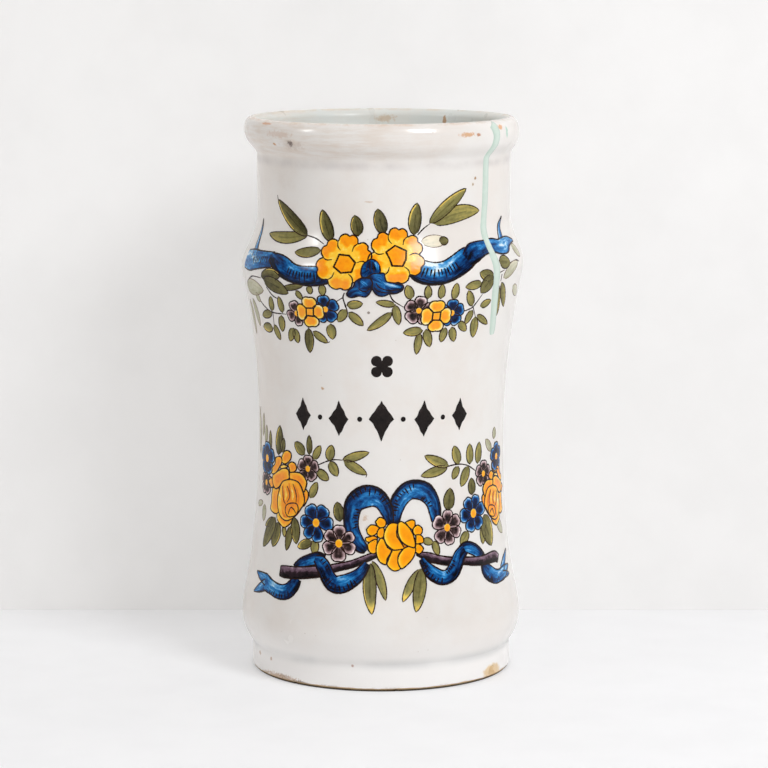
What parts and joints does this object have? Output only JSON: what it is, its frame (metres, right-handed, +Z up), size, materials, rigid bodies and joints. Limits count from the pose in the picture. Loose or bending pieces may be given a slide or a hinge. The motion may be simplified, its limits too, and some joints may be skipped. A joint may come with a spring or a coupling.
{
  "type": "pharmacy jar",
  "caption": "Waisted cylindrical pharmacy jar of tin-glazed earthenware with a rolled rim, open mouth and turned foot, painted with flower garlands and ribbons.",
  "frame": {"origin": "middle of the flat face that the jar stands on", "axes": "+Z up along the axis that the jar was thrown on, -Y towards the painted front, +X to the right of the front"},
  "size_m": [0.1316, 0.1316, 0.2607],
  "materials": {
    "biscuit_clay": "unglazed fired clay, matt",
    "tin_glaze": "glossy opaque white tin glaze",
    "lining_glaze": "glossy thin grey-white tin glaze",
    "green_glaze": "dried pale green run, satin",
    "painted_colours": "painted ceramic colours under a glossy surface"
  },
  "bodies": {
    "root": {"clay_body": "biscuit_clay", "outside_glaze": "tin_glaze", "inside_glaze": "lining_glaze", "green_run": "green_glaze"}
  },
  "joints": []
}
